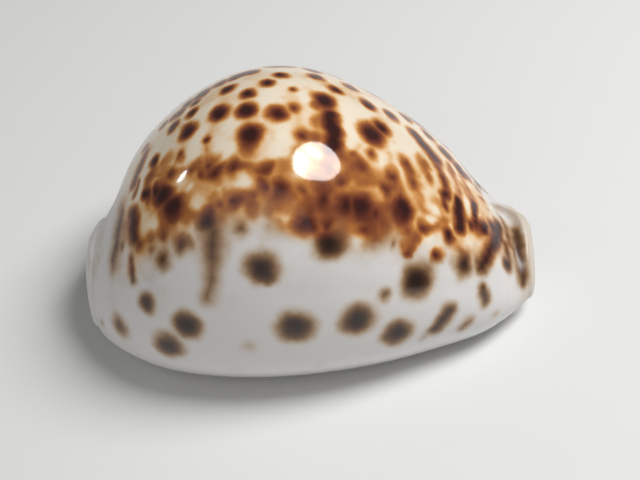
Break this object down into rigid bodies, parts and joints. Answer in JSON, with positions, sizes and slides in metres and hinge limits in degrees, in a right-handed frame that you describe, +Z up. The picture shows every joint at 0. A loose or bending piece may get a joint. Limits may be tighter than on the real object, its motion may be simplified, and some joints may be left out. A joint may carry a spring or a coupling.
{
  "type": "tiger cowrie shell",
  "caption": "Glossy egg-shaped sea snail shell with a toothed slit along its base and a canal at each end, in dark spots on cream.",
  "frame": {"origin": "middle of the shell's length and width, on the surface that it rests on", "axes": "+X towards the front (anterior) end, +Y towards the columellar side, +Z up through the back, so the slit is underneath and the outer lip is on the -Y side"},
  "size_m": [0.085, 0.061, 0.0472],
  "materials": {
    "porcelain": "glossy natural shell, cream with dark spots"
  },
  "bodies": {
    "root": {"shell": "porcelain"}
  },
  "joints": []
}
